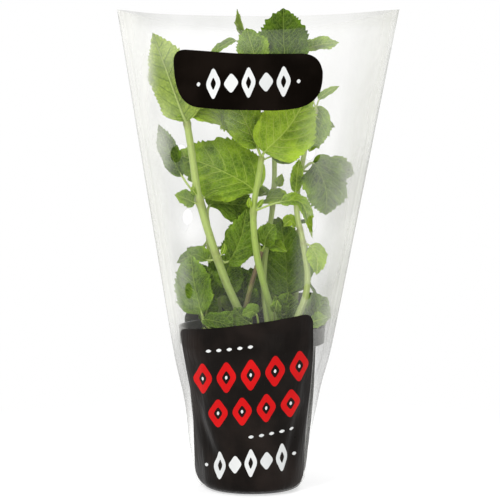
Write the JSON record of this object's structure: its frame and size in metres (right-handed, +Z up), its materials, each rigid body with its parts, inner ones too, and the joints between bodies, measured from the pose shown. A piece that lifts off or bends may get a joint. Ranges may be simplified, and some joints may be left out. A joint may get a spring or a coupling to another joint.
{
  "type": "potted mint plant",
  "caption": "Young mint plant in a round black nursery pot, standing in a tapered open-topped sleeve of clear film with dark printed panels.",
  "frame": {"origin": "centre of the sleeve's flat base, on the pot's axis", "axes": "+Z up along the pot's axis, +X to the right along the sleeve's width, -Y is the front of the sleeve"},
  "size_m": [0.2044, 0.1541, 0.3511],
  "materials": {
    "film": "clear hazy film",
    "pot_plastic": "satin moulded plastic",
    "potting_mix": "crumbly peat and bark",
    "foliage": "living leaf, satin"
  },
  "bodies": {
    "root": {"sleeve": "film", "pot": "pot_plastic", "potting_mix": "potting_mix", "stem_front_left": "foliage", "stem_front_middle": "foliage", "stem_tall": "foliage", "stem_right": "foliage", "stem_young": "foliage", "stem_back_left": "foliage", "stem_back_right": "foliage", "shoot_left": "foliage", "shoot_front": "foliage", "shoot_right": "foliage", "shoot_back": "foliage"}
  },
  "joints": []
}
